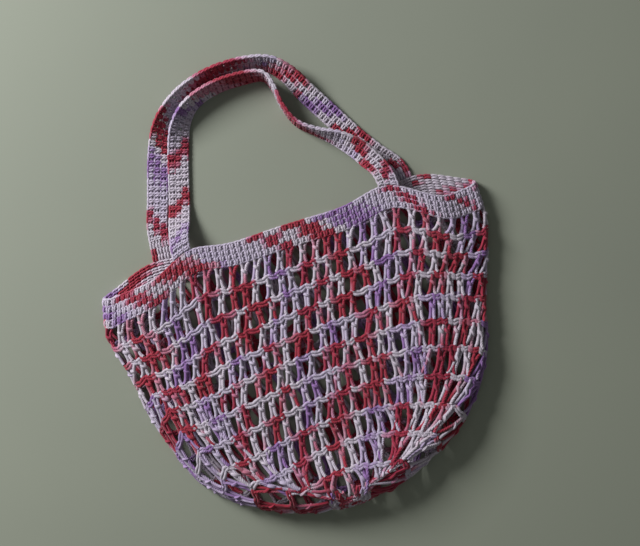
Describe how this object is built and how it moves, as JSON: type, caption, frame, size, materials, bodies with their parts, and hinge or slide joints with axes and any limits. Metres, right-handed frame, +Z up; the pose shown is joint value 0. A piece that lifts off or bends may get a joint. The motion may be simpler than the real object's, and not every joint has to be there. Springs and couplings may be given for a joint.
{
  "type": "mesh market bag",
  "caption": "Crocheted openwork market bag of variegated cotton yarn, lying empty on its back, with a close-worked mouth band and a pair of strap handles.",
  "frame": {"origin": "middle of the part's box, on the surface that the bag lies on", "axes": "+Z up from the surface, +X along the mouth to the right, +Y from the bag's bottom to its handles"},
  "size_m": [0.3766, 0.4322, 0.0275],
  "materials": {
    "net_yarn": "matt cotton yarn in white, red and purple, worked as an open net",
    "band_yarn": "matt cotton yarn in white, red and purple, worked close in rows",
    "handle_yarn": "matt cotton yarn in white, red and purple, worked close along a strap"
  },
  "bodies": {
    "root": {"net_body": "net_yarn", "mouth_band": "band_yarn", "handle_front": "handle_yarn", "handle_back": "handle_yarn"}
  },
  "joints": []
}
